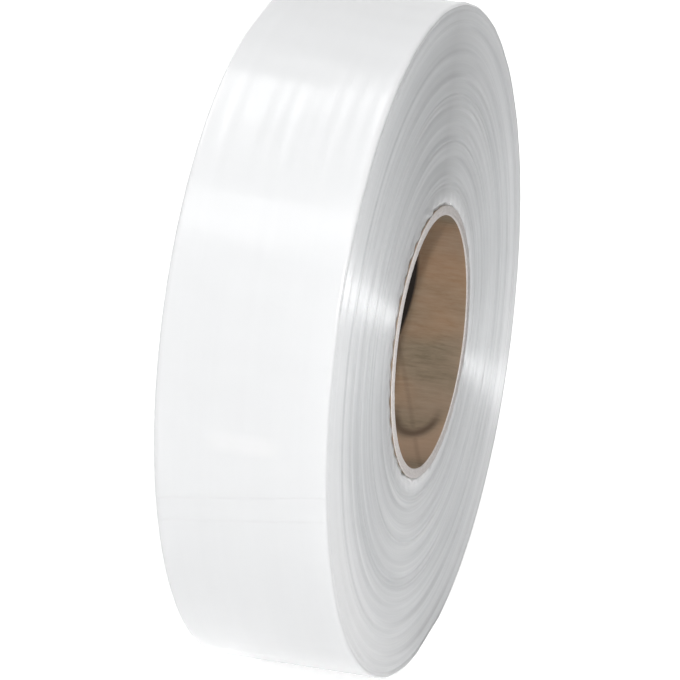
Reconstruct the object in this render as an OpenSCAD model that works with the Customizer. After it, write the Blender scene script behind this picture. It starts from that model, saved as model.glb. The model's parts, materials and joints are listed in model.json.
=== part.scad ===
// Roll of flat polyethylene tubing wound on a paperboard core, standing on its rim.
// The roll's axis is Y and Z is up. The origin is the middle of the core's bore.

/* [Tubing] */
// Width of the flattened tubing, fold to fold
layflat_w = 51; // [25:1:150]
// Film thickness of one wall of the tubing
film_gauge = 0.1; // [0.05:0.01:0.2]
// Length of tubing on the roll, in metres
tubing_len = 135; // [60:1:300]

/* [Core] */
// Inside diameter of the paperboard core
core_bore = 76.2; // [70:0.1:80]
// Thickness of the core's wall
core_wall = 3; // [1.5:0.1:6]
// How far the core stands out of the winding at each end
core_proud = 0.5; // [0:0.1:2]
// Bevel that the cutter leaves on the edges of the core's ends
core_bevel = 0.3; // [0.1:0.1:0.6]

/* [Winding] */
// Number of turns that lie in line before the web wanders sideways
turns_per_step = 18; // [12:1:40]
// Largest sideways wander of the turns
wander = 0.25; // [0.1:0.05:1]
// Direction of the tubing's free end, from +X towards +Z, in degrees
free_end_at = 186; // [100:1:240]
// Width of the flat spot that the roll rests on
flat_spot_w = 22; // [18:1:40]

/* [Hidden] */
$fn = 72;

// One turn is both walls of the flattened tubing.
turn_t = 2 * film_gauge;
core_r = core_bore / 2 + core_wall;
core_len = layflat_w + 2 * core_proud;
mm_per_m = 1000;
// The winding's end area is the tubing's length times its thickness.
roll_r = sqrt(core_r * core_r + turn_t * tubing_len * mm_per_m / PI);
build_up = roll_r - core_r;

// Groups of turns, numbered outwards from the core. Each keeps the full layflat width and lies
// a little to one side, so what stands out at one end of the roll is set back at the other.
groups = max(2, round(build_up / (turn_t * turns_per_step)));
group_uneven = 0.35;
function group_r(i) =
    i == 0 ? core_r
    : i == groups ? roll_r + over
    : core_r + build_up * (i + group_uneven * sin(97 * i)) / groups;
function group_shift(i) = wander * (0.65 * sin(137.5 * i + 20) + 0.35 * sin(61 * i));
// What the cutting shapes reach past the solid that they cut.
over = 2;

// The outer turn is thinner at the bottom, where the spiral has not yet grown to its full radius.
bottom_at = 270;
bottom_r = roll_r - turn_t / 2 * (1 + cos(bottom_at - free_end_at));
flat_z = -sqrt(bottom_r * bottom_r - flat_spot_w * flat_spot_w / 4);

// Stands a shape that was drawn about Z on the roll's axis. Its top faces the front, -Y.
module on_roll_axis() {
    rotate([90, 0, 0]) children();
}

// Spirally wound paperboard tube, cut square, with its end edges broken.
module paperboard_core() {
    color([0.62, 0.49, 0.36])
        on_roll_axis()
            rotate_extrude()
                polygon(core_section());
}

function core_section() = let (
    inner = core_bore / 2,
    end = core_len / 2,
    b = core_bevel
) [
    [inner, -end + b], [inner + b, -end], [core_r - b, -end], [core_r, -end + b],
    [core_r, end - b], [core_r - b, end], [inner + b, end], [inner, end - b]
];

// The tubing on the core: stepped ends, a spiral outer turn with a free end, and the flat spot.
module tubing_winding() {
    color([0.93, 0.94, 0.95])
        difference() {
            on_roll_axis()
                intersection() {
                    rotate_extrude()
                        polygon(winding_section());
                    spiral_turn(layflat_w + 2 * (wander + over));
                }
            translate([-roll_r, -layflat_w, flat_z - 2 * over])
                cube([2 * roll_r, 2 * layflat_w, 2 * over]);
        }
}

function winding_section() = concat(
    [for (i = [0 : groups - 1], r = [group_r(i), group_r(i + 1)])
        [r, layflat_w / 2 + group_shift(i)]],
    [for (i = [groups - 1 : -1 : 0], r = [group_r(i + 1), group_r(i)])
        [r, -layflat_w / 2 + group_shift(i)]]
);

// Outline of the last turn: two half circles, which grow by one turn's thickness in a full turn
// and so leave the step of the free end.
module spiral_turn(length) {
    rotate([0, 0, free_end_at]) {
        half_cylinder(roll_r, length, 0, -1);
        half_cylinder(roll_r - turn_t / 2, length, -turn_t / 2, 1);
    }
}

module half_cylinder(r, length, centre_x, side) {
    reach = r + over;
    intersection() {
        translate([centre_x, 0, 0])
            cylinder(h = length, r = r, center = true);
        translate([-reach, side > 0 ? 0 : -reach, -length / 2 - over])
            cube([2 * reach, reach, length + 2 * over]);
    }
}

paperboard_core();
tubing_winding();
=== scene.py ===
"""The looks of a roll of lay-flat poly tubing on a paperboard core.

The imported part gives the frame: the roll's axis is Y, Z is up, and the origin is the middle of the
core's bore. Everything is in metres. Angles round the roll run from +X towards +Z.
"""
import json
import math

import bpy
import numpy as np
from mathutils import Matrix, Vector


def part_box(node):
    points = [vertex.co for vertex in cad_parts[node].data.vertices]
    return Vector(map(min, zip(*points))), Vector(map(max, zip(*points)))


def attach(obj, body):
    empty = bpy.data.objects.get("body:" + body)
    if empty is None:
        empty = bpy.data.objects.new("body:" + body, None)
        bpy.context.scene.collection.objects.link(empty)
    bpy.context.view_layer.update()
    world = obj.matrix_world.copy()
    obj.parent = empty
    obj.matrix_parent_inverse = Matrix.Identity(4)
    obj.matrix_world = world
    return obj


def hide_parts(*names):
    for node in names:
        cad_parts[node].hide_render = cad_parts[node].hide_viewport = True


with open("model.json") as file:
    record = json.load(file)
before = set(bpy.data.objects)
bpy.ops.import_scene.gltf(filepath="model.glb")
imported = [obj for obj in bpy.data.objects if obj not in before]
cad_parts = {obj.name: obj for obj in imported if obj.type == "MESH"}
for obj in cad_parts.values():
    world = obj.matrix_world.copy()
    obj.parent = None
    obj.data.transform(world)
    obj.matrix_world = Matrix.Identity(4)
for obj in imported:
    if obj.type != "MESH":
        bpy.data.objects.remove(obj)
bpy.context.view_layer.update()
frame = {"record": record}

# The part's sizes. The first ones are read from the frame, the others repeat the part's source.
mounts = {m["name"]: m for m in frame["record"]["mounts"]}
BORE_R = mounts["core_bore"]["dims"]["r_mm"] / 1000
FLAT_Z = mounts["rim_flat"]["pos_m"][2]
CORE_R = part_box("paperboard_core")[1].x
CORE_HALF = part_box("paperboard_core")[1].y
LAYFLAT_W = 0.051
FILM_GAUGE = 0.0001
TUBING_LEN = 135
TURNS_PER_STEP = 18
WANDER = 0.00025
GROUP_UNEVEN = 0.35
CORE_BEVEL = 0.0003
FREE_END_AT = math.radians(186)
TURN_T = 2 * FILM_GAUGE
HALF_W = LAYFLAT_W / 2
ROLL_R = math.sqrt(CORE_R**2 + TURN_T * TUBING_LEN / math.pi)

# The photograph: a square frame, a long lens, and the place of the origin in it.
PHOTO_PX = 680
SENSOR_MM = 36
LENS_MM = 216
CAM_AZIMUTH = math.radians(-72.3)
CAM_ELEVATION = math.radians(25.0)
CAM_DISTANCE = 1.224
ORIGIN_PX = (349.2, 331)

MM = 0.001
FULL_TURN = 2 * math.pi


def smoothstep(x, low, high):
    """0 below low, 1 above high, and a smooth rise between them."""
    t = np.clip((x - low) / (high - low), 0, 1)
    return t * t * (3 - 2 * t)


def bell(x, centre, width):
    """A smooth hump of height 1."""
    return np.exp(-(((x - centre) / width) ** 2))


def waves(draw, x, lowest, highest, count):
    """Irregular waves of about height 1 that close on themselves once round the roll."""
    total = 0
    for _ in range(count):
        rate = draw.integers(lowest, highest)
        total = total + np.sin(rate * x + draw.uniform(0, FULL_TURN)) / math.sqrt(count)
    return total


def grid_object(name, points, materials, material_of_column):
    """A closed piece over a grid of points, shape (rows, columns, 3), that wraps both ways."""
    rows, columns = points.shape[:2]
    index = np.arange(rows * columns).reshape(rows, columns)
    below = np.roll(index, -1, 0)
    beside = np.roll(index, -1, 1)
    across = np.roll(below, -1, 1)
    quads = np.stack([index, below, across, beside], -1)
    mesh = bpy.data.meshes.new(name)
    mesh.from_pydata(points.reshape(-1, 3).tolist(), [], quads.reshape(-1, 4).tolist())
    for material in materials:
        mesh.materials.append(material)
    mesh.polygons.foreach_set("material_index", np.tile(material_of_column, rows).astype(np.int32))
    mesh.shade_smooth()
    piece = bpy.data.objects.new(name, mesh)
    bpy.context.scene.collection.objects.link(piece)
    return piece


# Winding: the wound ends

RINGS_PER_GROUP = 3
RING_JITTER = 0.05 * MM
RING_CORNER = 0.07 * MM
RING_SWAY = 0.035 * MM
START_WRINKLE = 0.16 * MM
START_WRINKLE_R = 5 * MM
WINDING_SEED = 4


def group_edges():
    """Radii between the groups of turns, by the same rule as the part's source."""
    build_up = ROLL_R - CORE_R
    groups = max(2, round(build_up / (TURN_T * TURNS_PER_STEP)))
    inner = [
        CORE_R + build_up * (i + GROUP_UNEVEN * math.sin(math.radians(97 * i))) / groups
        for i in range(1, groups)
    ]
    return [CORE_R] + inner + [ROLL_R]


def group_shift(i):
    """Sideways place of a group of turns, by the same rule as the part's source."""
    first = 0.65 * math.sin(math.radians(137.5 * i + 20))
    second = 0.35 * math.sin(math.radians(61 * i))
    return WANDER * (first + second)


def ring_profile(draw):
    """Radius and sideways shift of both corners of each ring of turns, from the core outwards."""
    edges = group_edges()
    radii, shifts = [], []
    for i in range(len(edges) - 1):
        ends = np.linspace(edges[i], edges[i + 1], RINGS_PER_GROUP + 1)
        for low, high in zip(ends[:-1], ends[1:]):
            shift = group_shift(i) + draw.normal(0, RING_JITTER)
            radii += [low + RING_CORNER, high - RING_CORNER]
            shifts += [shift, shift]
    radii[0] = CORE_R
    return np.array(radii), np.array(shifts)


def ring_sway(draw, angle, radii):
    """How each ring strays sideways along its way round, with a crumpled start at the core."""
    sway = np.zeros((len(angle), len(radii)))
    for i in range(0, len(radii), 2):
        stray = RING_SWAY * waves(draw, angle, lowest=1, highest=4, count=2)
        crumple = START_WRINKLE * (1 - smoothstep(radii[i], CORE_R, CORE_R + START_WRINKLE_R))
        stray = stray + crumple * waves(draw, angle, lowest=14, highest=46, count=5)
        sway[:, i] = stray
        sway[:, i + 1] = stray
    return sway


# Winding: the rim

ROUND_STEPS = 336
RIM_COLUMNS = 60
EDGE_ROUND = 0.8 * MM
EDGE_STEPS = 5
RELIEF_FADE = 3 * MM
END_GAP = math.radians(4.4)
END_SLANT = 1.47
END_SLANT_REACH = math.radians(16)
END_LIP = 0.06 * MM
END_LIP_W = 1.6 * MM
ROWS_NEAR_END = (-2.6 * MM, -1.3 * MM, -0.5 * MM, -0.06 * MM, 0.06 * MM, 0.6 * MM)
FOLD_RIDGE = 0.12 * MM
FOLD_RIDGE_W = 1.5 * MM
FOLD_INSET = 0.8 * MM
GAUGE_BAND = 0.035 * MM
SLACK_PATCHES = 4
SLACK_WAVE = 0.05 * MM
SLACK_W = 14 * MM
SLACK_LEAN = 1.2
FLAT_DEPTH = 6 * MM
# Creases in the slack outer turn: angle in degrees and y in mm at the two ends, then the width of
# the crease along the web and its height in mm.
CREASE_FADE = 0.3
CREASES = (
    (149.6, 16, 151.8, -13, 3.0, 0.16),
    (160.5, 8, 162.2, -8, 2.6, 0.08),
    (167.0, 19, 169.5, -6, 5.0, -0.10),
    (176.6, 10, 175.0, -11, 1.9, 0.24),
    (179.3, 22, 177.8, 2, 3.5, -0.08),
    (198.0, 18, 200.5, -12, 5.5, 0.09),
    (214.0, 5, 211.5, -16, 6.5, 0.09),
    (121.0, 16, 119.0, -8, 6.0, 0.09),
    (96.0, 10, 98.5, -15, 5.5, 0.09),
    (61.0, 14, 63.5, -14, 5.0, 0.12),
    (22.0, 6, 19.5, -16, 4.0, 0.12),
    (338.0, 14, 335.0, -12, 5.0, 0.12),
    (301.0, 10, 304.0, -14, 5.0, 0.10),
)


def round_angles():
    """Angles of the mesh's rows, with a few more at the cut edges of the tubing's two walls."""
    near = [
        FREE_END_AT + side * END_GAP / 2 + offset / ROLL_R
        for side in (-1, 1)
        for offset in ROWS_NEAR_END
    ]
    even = np.linspace(0, FULL_TURN, ROUND_STEPS, endpoint=False)
    spacing = even[1] - even[0]
    keep = [a for a in even if min(abs(a - n) for n in near) > 0.5 * spacing]
    return np.sort(np.array(keep + near))


def end_lip(angle, edge):
    """A wall's cut edge, lifted a little just before it ends."""
    before = (edge - angle) * ROLL_R
    return np.where(before > 0, END_LIP * np.exp(-before / END_LIP_W), 0)


def spiral_radius(angle):
    """Radius of the last turn, which ends in two steps, one for each wall of the tubing."""
    past = np.mod(angle - FREE_END_AT, FULL_TURN)
    grown = ROLL_R - TURN_T / 2 * (1 + np.cos(past))
    radius = np.where(past < math.pi, grown, ROLL_R)
    outer_edge = FREE_END_AT - END_GAP / 2
    inner_edge = FREE_END_AT + END_GAP / 2
    radius = np.where((angle > outer_edge) & (angle <= FREE_END_AT), radius - FILM_GAUGE, radius)
    radius = np.where((angle > FREE_END_AT) & (angle < inner_edge), radius + FILM_GAUGE, radius)
    return radius + end_lip(angle, outer_edge) + end_lip(angle, inner_edge) / 2


def crease_heights(angle, y):
    """Heights of all creases over the rim."""
    total = np.zeros_like(angle + y)
    for start_deg, start_mm, end_deg, end_mm, width_mm, height_mm in CREASES:
        along = (y - start_mm * MM) / ((end_mm - start_mm) * MM)
        centre = np.radians(start_deg + (end_deg - start_deg) * along)
        across = (angle - centre) * ROLL_R
        fade = smoothstep(along, -CREASE_FADE, CREASE_FADE)
        fade = fade * (1 - smoothstep(along, 1 - CREASE_FADE, 1 + CREASE_FADE))
        total += height_mm * MM * fade * bell(across, 0, width_mm * MM)
    return total


def rim_relief(draw, angle, y):
    """What stands out of the outer turn: folded edges, gauge bands, slack waves and creases."""
    fold = FOLD_RIDGE * bell(np.abs(y), HALF_W - FOLD_INSET, FOLD_RIDGE_W)
    bands = GAUGE_BAND * waves(draw, y * math.pi / HALF_W, lowest=2, highest=14, count=5)
    slack = 0
    for _ in range(SLACK_PATCHES):
        side = bell(y, draw.uniform(-HALF_W, HALF_W), SLACK_W)
        ripple = waves(draw, angle + SLACK_LEAN * y, lowest=12, highest=60, count=4)
        slack = slack + SLACK_WAVE * side * ripple
    return fold + bands + slack + crease_heights(angle, y)


def flattened(x, z):
    """Presses the bottom of the winding onto the flat spot, and fades out a little above it."""
    bottom = -np.sqrt(np.maximum(ROLL_R**2 - x**2, 0))
    press = np.maximum(FLAT_Z - bottom, 0)
    share = smoothstep(-z, -FLAT_Z - FLAT_DEPTH, -FLAT_Z)
    return np.where(z < 0, np.maximum(z + press * share, FLAT_Z), z)


def winding_points():
    """Grid of points, rows round the roll and columns round its section, and the face columns."""
    draw = np.random.default_rng(WINDING_SEED)
    radii, shifts = ring_profile(draw)
    radii[-1] = ROLL_R - EDGE_ROUND - RING_CORNER
    turn = round_angles()
    front_sway = ring_sway(draw, turn, radii)
    back_sway = ring_sway(draw, turn, radii)
    arc = np.linspace(0, math.pi / 2, EDGE_STEPS)
    round_r = ROLL_R - EDGE_ROUND * (1 - np.sin(arc))
    round_in = EDGE_ROUND * (1 - np.cos(arc))
    rim_y = np.linspace(-HALF_W + EDGE_ROUND, HALF_W - EDGE_ROUND, RIM_COLUMNS + 2)[1:-1]
    rim_r = np.full(RIM_COLUMNS, ROLL_R)
    section_r = np.concatenate([radii, round_r, rim_r, round_r[::-1], radii[::-1]])
    front_y = -HALF_W + shifts + front_sway
    back_y = HALF_W + shifts + back_sway
    columns = [
        front_y,
        front_y[:, -1:] + round_in,
        shifts[-1] + rim_y + 0 * turn[:, None],
        back_y[:, -1:] - round_in[::-1],
        back_y[:, ::-1],
    ]
    y = np.concatenate(columns, 1)
    row = turn[:, None]
    angle = row + END_SLANT * y * bell(row, FREE_END_AT, END_SLANT_REACH)
    relief = spiral_radius(row + 0 * y) - ROLL_R + rim_relief(draw, angle, y)
    share = smoothstep(section_r, ROLL_R - RELIEF_FADE, ROLL_R - EDGE_ROUND)
    radius = section_r + relief * share
    x = radius * np.cos(angle)
    z = flattened(x, radius * np.sin(angle))
    return np.stack([x, y, z], -1), len(radii)


def make_winding():
    points, face_columns = winding_points()
    columns = points.shape[1]
    on_end = np.zeros(columns)
    on_end[: face_columns - 1] = 1
    on_end[columns - face_columns :] = 1
    materials = [film_rim_material(), film_end_material()]
    winding = grid_object("wound_tubing", points, materials, on_end)
    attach(winding, "root")
    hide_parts("tubing_winding")


# Core

CORE_ROUND_STEPS = 288
BORE_COLUMNS = 64
LIP_R = 0.45 * MM
LIP_STEPS = 5
PLIES = 6
PLY_GROOVE = 0.05 * MM
CUT_FUZZ = 0.07 * MM
SEAM_LEAD = 97.2 * MM
SEAM_FRONT_AT = math.radians(254.5)
SEAM_DEPTH = 0.1 * MM
SEAM_W = 0.6 * MM
BORE_WAVE = 0.05 * MM
BORE_WAVE_LEAN = 8
BORE_WAVE_REACH = 0.8 * CORE_HALF
CORE_GAP = 0.02 * MM
CORE_SEED = 11


def seam_distance(angle, y):
    """Distance along the axis from the spiral seam of the core's inner ply."""
    turns = (angle - SEAM_FRONT_AT) / FULL_TURN
    ahead = (y + CORE_HALF) / SEAM_LEAD - turns
    return (ahead - np.round(ahead)) * SEAM_LEAD


def core_section():
    """Radius, y and a mark for the cut end of each column, round the core's section."""
    arc = np.linspace(0, math.pi / 2, LIP_STEPS)
    bore_y = np.linspace(CORE_HALF - LIP_R, -CORE_HALF + LIP_R, BORE_COLUMNS)
    lip_r = BORE_R + LIP_R * (1 - np.cos(arc))[1:]
    lip_y = CORE_HALF - LIP_R * (1 - np.sin(arc))[1:]
    ring_r = np.linspace(BORE_R + LIP_R, CORE_R - CORE_BEVEL, 2 * PLIES + 1)[1:]
    outer_r = CORE_R - CORE_GAP
    radius = [
        np.full(BORE_COLUMNS, BORE_R), lip_r, ring_r, [outer_r, outer_r], ring_r[::-1], lip_r[::-1]
    ]
    end = np.full(len(ring_r), CORE_HALF)
    below_bevel = CORE_HALF - CORE_BEVEL
    y = [bore_y, -lip_y, -end, [-below_bevel, below_bevel], end, lip_y[::-1]]
    cut = [np.zeros(BORE_COLUMNS - 1), np.ones(LIP_STEPS + 2 * PLIES), [0]]
    cut += [np.ones(2 * PLIES + LIP_STEPS)]
    return np.concatenate(radius), np.concatenate(y), np.concatenate(cut)


def core_points():
    draw = np.random.default_rng(CORE_SEED)
    section_r, section_y, cut = core_section()
    angle = np.linspace(0, FULL_TURN, CORE_ROUND_STEPS, endpoint=False)[:, None]
    at_end = np.isclose(np.abs(section_y), CORE_HALF)
    ply = (section_r - BORE_R) / (CORE_R - BORE_R) * PLIES
    groove = PLY_GROOVE * (0.5 + 0.5 * np.cos(FULL_TURN * ply))
    fuzz = CUT_FUZZ * draw.normal(0, 0.6, (CORE_ROUND_STEPS, len(section_r)))
    fuzz = fuzz + CUT_FUZZ * waves(draw, angle, lowest=5, highest=40, count=5)
    y = section_y - np.sign(section_y) * at_end * (groove + fuzz)
    in_bore = section_r <= BORE_R
    seam = SEAM_DEPTH * bell(seam_distance(angle, section_y), 0, SEAM_W)
    leaning = angle + BORE_WAVE_LEAN * section_y
    wave = BORE_WAVE * waves(draw, leaning, lowest=2, highest=9, count=4)
    radius = section_r + in_bore * (seam + wave * bell(section_y, 0, BORE_WAVE_REACH))
    return np.stack([radius * np.cos(angle), y + 0 * angle, radius * np.sin(angle)], -1), cut


def make_core():
    points, cut = core_points()
    core = grid_object("kraft_core", points, [kraft_material(), board_cut_material()], cut)
    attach(core, "root")
    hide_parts("paperboard_core")


# Materials

def new_material(name):
    """A new material with its node tree and its shader."""
    material = bpy.data.materials.new(name)
    material.use_nodes = True
    return material, material.node_tree, material.node_tree.nodes["Principled BSDF"]


def node(tree, kind, inputs=(), **settings):
    """A new node. Each of its inputs is set to a value or joined to another node's output."""
    made = tree.nodes.new("ShaderNode" + kind)
    for key, value in settings.items():
        setattr(made, key, value)
    for key, value in dict(inputs).items():
        join(tree, value, made.inputs[key])
    return made


def join(tree, value, socket):
    if isinstance(value, bpy.types.NodeSocket):
        tree.links.new(value, socket)
    else:
        socket.default_value = value


def compute(tree, operation, *values):
    inputs = dict(enumerate(values))
    return node(tree, "Math", inputs, operation=operation).outputs["Value"]


def weighted_sum(tree, *terms):
    """Sum of pairs of a value and its weight."""
    total = 0
    for value, weight in terms:
        total = compute(tree, "MULTIPLY_ADD", value, weight, total)
    return total


def off_by(tree, value, centre):
    """Distance of a value from a centre, to either side."""
    return compute(tree, "ABSOLUTE", compute(tree, "SUBTRACT", value, centre))


def reach_of(tree, first, second):
    """Distance from the middle of a patch, from how far off it lies in two directions."""
    where = node(tree, "CombineXYZ", {"X": first, "Y": second}).outputs["Vector"]
    return node(tree, "VectorMath", {0: where}, operation="LENGTH").outputs["Value"]


def here(tree):
    """The point on the surface, in metres in the part's frame."""
    return node(tree, "TexCoord").outputs["Object"]


def stretched(tree, point, scale):
    """The point with each axis scaled by itself."""
    inputs = {0: point, 1: scale}
    return node(tree, "VectorMath", inputs, operation="MULTIPLY").outputs["Vector"]


def noise(tree, point, scale=1.0, detail=2.0, roughness=0.5):
    inputs = {"Vector": point, "Scale": scale, "Detail": detail, "Roughness": roughness}
    return node(tree, "TexNoise", inputs).outputs["Fac"]


def remap(tree, value, low, high, to_low, to_high):
    """Takes the range low to high to another range, and stops at its ends."""
    inputs = {0: value, 1: low, 2: high, 3: to_low, 4: to_high}
    return node(tree, "MapRange", inputs).outputs["Result"]


def blend(tree, share, first, second):
    inputs = {"Factor": share, 6: first, 7: second}
    return node(tree, "Mix", inputs, data_type="RGBA").outputs[2]


def bump(tree, height, distance, normal=None):
    inputs = {"Height": height, "Distance": distance, "Strength": 1}
    if normal:
        inputs["Normal"] = normal
    return node(tree, "Bump", inputs).outputs["Normal"]


def round_the_axis(tree, point):
    """Distance from the roll's axis, and turns round it."""
    parts = node(tree, "SeparateXYZ", {"Vector": point}).outputs
    flat = node(tree, "CombineXYZ", {"X": parts["X"], "Z": parts["Z"]}).outputs["Vector"]
    radius = node(tree, "VectorMath", {0: flat}, operation="LENGTH").outputs["Value"]
    angle = compute(tree, "ARCTAN2", parts["Z"], parts["X"])
    return radius, compute(tree, "DIVIDE", angle, FULL_TURN), parts["Y"]


def ring_noise(tree, point, lines_per_m, drift_scale, detail):
    """Noise in fine rings round the roll's axis, which drift slowly along their way round."""
    radius, _, _ = round_the_axis(tree, point)
    across = compute(tree, "MULTIPLY", radius, lines_per_m)
    slow = stretched(tree, point, (drift_scale, 0, drift_scale))
    drift = node(tree, "SeparateXYZ", {"Vector": slow}).outputs
    inputs = {"X": across, "Y": drift["X"], "Z": drift["Z"]}
    return noise(tree, node(tree, "CombineXYZ", inputs).outputs["Vector"], detail=detail)


def milky(shader, glow):
    """Light that goes into the film comes out again up to this far away."""
    shader.inputs["Subsurface Weight"].default_value = 1.0
    shader.inputs["Subsurface Radius"].default_value = (1, 1, 1)
    shader.inputs["Subsurface Scale"].default_value = glow


# Rim film

RIM_DULL = (0.875, 0.88, 0.885, 1)
RIM_BRIGHT = (0.905, 0.91, 0.915, 1)
RIM_GLOW = 4 * MM
# How fine the noise is along each axis, and how deep it dents the surface
CLOUD_SCALE = (24, 9, 24)
GAUGE_SCALE = (4, 260, 4)
GAUGE_DEPTH = 0.06 * MM
RIPPLE_SCALE = (110, 9, 110)
RIPPLE_DEPTH = 0.12 * MM
# Painted highlight on a crease of the outer turn
HIGHLIGHT_WHITE = (0.95, 0.955, 0.965, 1)
PATCH_AT = 174.4 / 360
PATCH_HALF_TURN = 1.5 / 360
PATCH_MIDDLE_Y = -1 * MM
PATCH_HALF_Y = 10.5 * MM


def painted_highlight_patch(tree, point):
    """Share of the patch on a crease of the outer turn that is painted whiter, as a highlight."""
    _, turns, along = round_the_axis(tree, point)
    off_turn = off_by(tree, turns, PATCH_AT)
    off_y = off_by(tree, along, PATCH_MIDDLE_Y)
    in_turn = remap(tree, off_turn, 0.4 * PATCH_HALF_TURN, 1.4 * PATCH_HALF_TURN, 0.8, 0)
    in_y = remap(tree, off_y, 0.6 * PATCH_HALF_Y, 1.2 * PATCH_HALF_Y, 1, 0)
    return compute(tree, "MULTIPLY", in_turn, in_y)


def film_rim_material():
    """Outer turn: milky film with a soft gloss, gauge bands, faint cross ripples and a patch with a
    painted highlight.
    """
    material, tree, shader = new_material("film_rim")
    point = here(tree)
    clouds = noise(tree, stretched(tree, point, CLOUD_SCALE), detail=3)
    bands = noise(tree, stretched(tree, point, GAUGE_SCALE), detail=3)
    ripples = noise(tree, stretched(tree, point, RIPPLE_SCALE), detail=2)
    tone = weighted_sum(tree, (clouds, 0.7), (bands, 0.3))
    colour = blend(tree, remap(tree, tone, 0.35, 0.65, 0, 1), RIM_DULL, RIM_BRIGHT)
    # Painted highlight: a patch of the outer turn is painted whiter.
    colour = blend(tree, painted_highlight_patch(tree, point), colour, HIGHLIGHT_WHITE)
    join(tree, colour, shader.inputs["Base Color"])
    join(tree, remap(tree, clouds, 0.3, 0.7, 0.27, 0.33), shader.inputs["Roughness"])
    ridged = bump(tree, bands, GAUGE_DEPTH)
    join(tree, bump(tree, ripples, RIPPLE_DEPTH, normal=ridged), shader.inputs["Normal"])
    milky(shader, RIM_GLOW)
    shader.inputs["Coat Weight"].default_value = 0.3
    shader.inputs["Coat Roughness"].default_value = 0.15
    return material


# Film of the wound ends

# Lines and bands to a metre of radius, how deep they are, and how fast they drift on their way round
TURN_LINES = 2400
TURN_DEPTH = 0.05 * MM
BAND_LINES = 260
BAND_DEPTH = 0.12 * MM
RING_DRIFT = 9
END_CLOUD_SCALE = 16
DENT_SCALE = 420
DENT_DEPTH = 0.5 * MM
END_GREY = (0.67, 0.68, 0.69, 1)
END_PALE = (0.87, 0.875, 0.88, 1)
# Colours of the painted shade and the painted light on the ends
SHADE_GREY = (0.36, 0.365, 0.37, 1)
LIGHT_WHITE = (0.97, 0.97, 0.975, 1)
# Painted glint on the crumpled first turns by the core
PAINTED_GLINT_WHITE = (0.96, 0.95, 0.955, 1)
END_GLOW = 35 * MM
DARK_RING_R = 87.2 * MM
DARK_RING_W = 0.9 * MM
# The outer turns are painted paler, as light coming in from the lit rim, from the first radius on,
# and palest from the second on.
OUTER_TURNS = (76 * MM, 90 * MM)
# Sectors with painted shade (darker, near the top) and painted light (paler, low at the side): their
# middle and their reach to either side, in degrees
SHADE_SECTOR = (75, 60)
LIGHT_SECTOR = (205, 60)


def sector(tree, turns, middle_deg, reach_deg):
    """1 in the middle of a sector of the roll's end, and 0 past its reach to either side."""
    off = off_by(tree, compute(tree, "FRACT", turns), middle_deg / 360)
    return remap(tree, off, 0, reach_deg / 360, 1, 0)


def film_end_material():
    """Wound ends: thousands of film edges, which glint along the radius like turned metal."""
    material, tree, shader = new_material("film_end")
    point = here(tree)
    radius, turns, _ = round_the_axis(tree, point)
    fine = ring_noise(tree, point, TURN_LINES, RING_DRIFT, detail=2)
    bands = ring_noise(tree, point, BAND_LINES, RING_DRIFT, detail=3)
    clouds = noise(tree, point, END_CLOUD_SCALE)
    ring = remap(tree, off_by(tree, radius, DARK_RING_R), 0, DARK_RING_W, 1, 0)
    outer = remap(tree, radius, *OUTER_TURNS, 0, 1)
    painted_shade = sector(tree, turns, *SHADE_SECTOR)
    painted_light = compute(tree, "MULTIPLY", sector(tree, turns, *LIGHT_SECTOR), outer)
    crumpled_and_glint = remap(tree, radius, CORE_R + START_WRINKLE_R, CORE_R + 1 * MM, 0, 1)
    tone = weighted_sum(tree, (fine, 0.4), (bands, 0.5), (clouds, 0.1), (outer, 0.06), (ring, -0.2))
    colour = blend(tree, remap(tree, tone, 0.3, 0.72, 0, 1), END_GREY, END_PALE)
    # Painted shade: the top of the ends is painted darker, as if less lit.
    colour = blend(tree, compute(tree, "MULTIPLY", painted_shade, 0.66), colour, SHADE_GREY)
    # Painted light: the outer turns low at the side are painted paler, as if lit from the rim and
    # floor.
    colour = blend(tree, compute(tree, "MULTIPLY", painted_light, 0.95), colour, LIGHT_WHITE)
    # Painted glint: the crumpled turns by the core are painted whiter; their dents and roughness
    # below are real.
    colour = blend(tree, compute(tree, "MULTIPLY", crumpled_and_glint, 0.4), colour, PAINTED_GLINT_WHITE)
    join(tree, colour, shader.inputs["Base Color"])
    rough = remap(tree, bands, 0.3, 0.7, 0.56, 0.64)
    join(tree, weighted_sum(tree, (rough, 1), (crumpled_and_glint, -0.3)), shader.inputs["Roughness"])
    dents = compute(tree, "MULTIPLY", noise(tree, point, DENT_SCALE), crumpled_and_glint)
    grooved = bump(tree, fine, TURN_DEPTH)
    grooved = bump(tree, bands, BAND_DEPTH, normal=grooved)
    join(tree, bump(tree, dents, DENT_DEPTH, normal=grooved), shader.inputs["Normal"])
    tangent = node(tree, "Tangent", direction_type="RADIAL", axis="Y").outputs["Tangent"]
    join(tree, tangent, shader.inputs["Tangent"])
    shader.inputs["Metallic"].default_value = 0.3
    shader.inputs["Anisotropic"].default_value = 1.0
    shader.inputs["Anisotropic Rotation"].default_value = 0.25
    milky(shader, END_GLOW)
    return material


# Kraft paper of the bore

KRAFT_OLIVE = (0.20, 0.155, 0.10, 1)
KRAFT_BROWN = (0.33, 0.235, 0.165, 1)
KRAFT_WARM = (0.34, 0.20, 0.11, 1)
KRAFT_FIBRE = (0.46, 0.36, 0.26, 1)
KRAFT_LIGHTER = (0.47, 0.32, 0.22, 1)
KRAFT_DARK = (0.09, 0.055, 0.035, 1)
# Painted shadow in the middle of the bore
SHADOW_BLACK = (0.012, 0.007, 0.004, 1)
# How fine the noise is along each axis
DIRT_SCALE = (52, 30, 52)
WARM_SCALE = (31, 22, 31)
FIBRE_SCALE = (900, 160, 900)
FIBRE_DEPTH = 0.08 * MM
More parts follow.
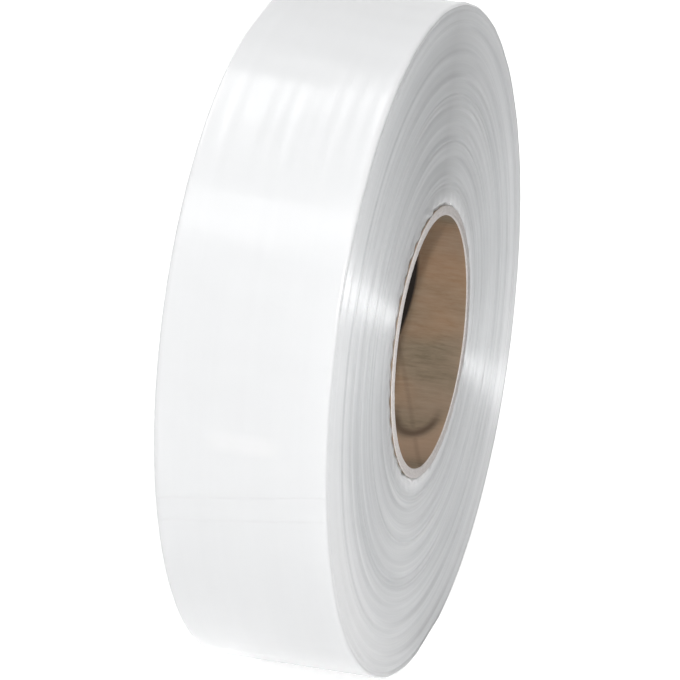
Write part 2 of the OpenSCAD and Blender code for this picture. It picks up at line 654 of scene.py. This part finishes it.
# Where the dark arc and the painted shadow lie: turns round the roll, and y
ARC_TURN = -60 / 360
ARC_Y = -16 * MM
ARC_HALF_ROUND = 9.3 * MM
ARC_HALF_Y = 6.5 * MM
SHADOW_TURN = -6 / 360
SHADOW_HALF_TURN = 29 / 360
SHADOW_Y = -5.9 * MM
SHADOW_HALF_Y = 2.7 * MM
# How far the painted shadow would move towards the front in a full turn
SHADOW_LEAN = 49.5 * MM


def dark_arc(tree, turns, along):
    """A dark arc low in the bore's front, and lighter paper below it."""
    off_turn = compute(tree, "SUBTRACT", turns, ARC_TURN)
    off_y = compute(tree, "SUBTRACT", along, ARC_Y)
    off_round = compute(tree, "MULTIPLY", off_turn, FULL_TURN * BORE_R / ARC_HALF_ROUND)
    reach = reach_of(tree, off_round, compute(tree, "DIVIDE", off_y, ARC_HALF_Y))
    lower = remap(tree, off_turn, -0.02, 0.01, 1, 0)
    edge = compute(tree, "MULTIPLY", remap(tree, off_by(tree, reach, 1), 0.04, 0.3, 0.8, 0), lower)
    lighter = compute(tree, "MULTIPLY", remap(tree, reach, 1.1, 1.5, 0, 0.6), lower)
    return edge, compute(tree, "MULTIPLY", lighter, remap(tree, reach, 2.4, 3.2, 1, 0))


def painted_shadow_mark(tree, turns, along):
    """Painted shadow: a narrow leaning black mark near the middle of the bore, where the shadow of
    the bore's mouth falls on the wall.
    """
    off_turn = compute(tree, "SUBTRACT", turns, SHADOW_TURN)
    leaning = weighted_sum(tree, (along, 1), (off_turn, SHADOW_LEAN))
    off_y = compute(tree, "SUBTRACT", leaning, SHADOW_Y)
    across = compute(tree, "DIVIDE", off_y, SHADOW_HALF_Y)
    reach = reach_of(tree, compute(tree, "DIVIDE", off_turn, SHADOW_HALF_TURN), across)
    return remap(tree, reach, 0.82, 1.12, 1, 0)


def spiral_seam(tree, turns, along):
    """The dark line of the inner ply's spiral seam, where the mesh has its groove."""
    depth = compute(tree, "ADD", along, CORE_HALF)
    ahead = compute(tree, "SUBTRACT", compute(tree, "DIVIDE", depth, SEAM_LEAD), turns)
    from_seam = compute(tree, "ADD", ahead, SEAM_FRONT_AT / FULL_TURN)
    off_seam = off_by(tree, compute(tree, "FRACT", from_seam), 0.5)
    return remap(tree, off_seam, 0.488, 0.497, 0, 0.2)


def kraft_material():
    """Inner ply of the core: brown paper with fibres, blotches, a dark arc, a painted shadow and a
    spiral seam.
    """
    material, tree, shader = new_material("kraft_board")
    point = here(tree)
    _, turns, along = round_the_axis(tree, point)
    dirt = noise(tree, stretched(tree, point, DIRT_SCALE), detail=3)
    patches = noise(tree, stretched(tree, point, WARM_SCALE), detail=2)
    fibres = noise(tree, stretched(tree, point, FIBRE_SCALE), detail=4, roughness=0.65)
    edge, lighter = dark_arc(tree, turns, along)
    lines = compute(tree, "MAXIMUM", spiral_seam(tree, turns, along), edge)
    colour = blend(tree, remap(tree, dirt, 0.36, 0.64, 0, 1), KRAFT_OLIVE, KRAFT_BROWN)
    colour = blend(tree, remap(tree, patches, 0.52, 0.66, 0, 0.7), colour, KRAFT_WARM)
    colour = blend(tree, remap(tree, fibres, 0.35, 0.7, 0, 0.35), colour, KRAFT_FIBRE)
    colour = blend(tree, lighter, colour, KRAFT_LIGHTER)
    colour = blend(tree, lines, colour, KRAFT_DARK)
    # Painted shadow: the wall is painted black where the bore's mouth shades it.
    colour = blend(tree, painted_shadow_mark(tree, turns, along), colour, SHADOW_BLACK)
    join(tree, colour, shader.inputs["Base Color"])
    join(tree, bump(tree, fibres, FIBRE_DEPTH), shader.inputs["Normal"])
    shader.inputs["Roughness"].default_value = 0.82
    return material


# Cut board of the core's ends

BOARD_GREY = (0.66, 0.61, 0.585, 1)
BOARD_PALE = (0.83, 0.785, 0.76, 1)
PLY_LINES = 3200
PLY_DRIFT = 60
FUZZ_SCALE = 1400
FUZZ_DEPTH = 0.2 * MM
# The cut edges look as if they faced outwards by this slope.
CUT_SLOPE = 0.3


def board_cut_material():
    """Cut ends of the core: pale board with the edges of its plies."""
    material, tree, shader = new_material("board_cut")
    point = here(tree)
    radius, _, _ = round_the_axis(tree, point)
    plies = ring_noise(tree, point, PLY_LINES, PLY_DRIFT, detail=3)
    fuzz = noise(tree, point, FUZZ_SCALE, detail=3)
    tone = weighted_sum(tree, (plies, 0.5), (fuzz, 0.5))
    colour = blend(tree, remap(tree, tone, 0.36, 0.62, 0, 1), BOARD_GREY, BOARD_PALE)
    join(tree, colour, shader.inputs["Base Color"])
    sloped = bump(tree, compute(tree, "MULTIPLY", radius, -CUT_SLOPE), 1.0)
    join(tree, bump(tree, tone, FUZZ_DEPTH, normal=sloped), shader.inputs["Normal"])
    shader.inputs["Roughness"].default_value = 0.85
    return material


# Stage

FLOOR_HALF = 6
FLOOR_WHITE = (0.92, 0.92, 0.92, 1)
# Makes the floor look pure white without lighting the roll from below.
FLOOR_GLOW = 0.72
SKY = (0.96, 0.98, 1, 1)
SKY_STRENGTH = 0.18
# Name, place, width and height of each lamp, in metres, and its power in watts
LAMPS = (
    ("key", (-1.058, -0.368, 0.851), 0.05, 0.1, 9.6),
    ("band", (-0.77, 0.42, 1.22), 0.6, 0.3, 1.4),
    ("top_back", (0.2, 0.7, 1.3), 0.8, 0.6, 5.6),
    ("back_right", (0.9, 0.7, 0.5), 0.5, 0.5, 1.5),
    ("front_panel", (-0.75, -0.95, 0.0), 1.2, 0.6, 3.0),
)


def background_rays(tree):
    """1 for rays that see the background: the camera's, and those in reflections and through film."""
    path = node(tree, "LightPath").outputs
    seen = compute(tree, "MAXIMUM", path["Is Camera Ray"], path["Is Glossy Ray"])
    return compute(tree, "MAXIMUM", seen, path["Is Transmission Ray"])


def make_stage():
    mesh = bpy.data.meshes.new("floor")
    sides = ((-1, -1), (1, -1), (1, 1), (-1, 1))
    corners = [(sx * FLOOR_HALF, sy * FLOOR_HALF, FLAT_Z) for sx, sy in sides]
    mesh.from_pydata(corners, [], [(0, 1, 2, 3)])
    floor = bpy.data.objects.new("floor", mesh)
    bpy.context.scene.collection.objects.link(floor)
    material, tree, shader = new_material("white_floor")
    shader.inputs["Base Color"].default_value = FLOOR_WHITE
    shader.inputs["Roughness"].default_value = 0.9
    shader.inputs["Emission Color"].default_value = (1, 1, 1, 1)
    glow = compute(tree, "MULTIPLY", background_rays(tree), FLOOR_GLOW)
    join(tree, glow, shader.inputs["Emission Strength"])
    mesh.materials.append(material)


def make_world():
    world = bpy.data.worlds.new("studio")
    bpy.context.scene.world = world
    world.use_nodes = True
    tree = world.node_tree
    tree.nodes.clear()
    seen = node(tree, "Background", {"Color": (1, 1, 1, 1), "Strength": 1}).outputs[0]
    light = node(tree, "Background", {"Color": SKY, "Strength": SKY_STRENGTH}).outputs[0]
    mixed = node(tree, "MixShader", {0: background_rays(tree), 1: light, 2: seen}).outputs[0]
    node(tree, "OutputWorld", {"Surface": mixed})


def soft_box(name, place, size_across, size_up, watts):
    data = bpy.data.lights.new(name, "AREA")
    data.shape = "RECTANGLE"
    data.size = size_across
    data.size_y = size_up
    data.energy = watts
    lamp = bpy.data.objects.new(name, data)
    bpy.context.scene.collection.objects.link(lamp)
    lamp.location = place
    lamp.visible_camera = False
    lamp.rotation_euler = Vector(place).to_track_quat("Z", "Y").to_euler()


def make_lamps():
    for lamp in LAMPS:
        soft_box(*lamp)


def make_camera():
    level = math.cos(CAM_ELEVATION)
    back = Vector(
        (math.sin(CAM_AZIMUTH) * level, -math.cos(CAM_AZIMUTH) * level, math.sin(CAM_ELEVATION))
    )
    rotation = back.to_track_quat("Z", "Y")
    right = rotation @ Vector((1, 0, 0))
    up = rotation @ Vector((0, 1, 0))
    px_per_m = LENS_MM / SENSOR_MM * PHOTO_PX / CAM_DISTANCE
    centre = PHOTO_PX / 2
    aim = (right * (centre - ORIGIN_PX[0]) - up * (centre - ORIGIN_PX[1])) / px_per_m
    data = bpy.data.cameras.new("camera")
    data.lens = LENS_MM
    data.sensor_width = SENSOR_MM
    camera = bpy.data.objects.new("camera", data)
    bpy.context.scene.collection.objects.link(camera)
    camera.location = aim + back * CAM_DISTANCE
    camera.rotation_euler = rotation.to_euler()
    bpy.context.scene.camera = camera


make_camera()
make_world()
make_stage()
make_lamps()
make_winding()
make_core()
bpy.context.scene.view_settings.view_transform = "Standard"
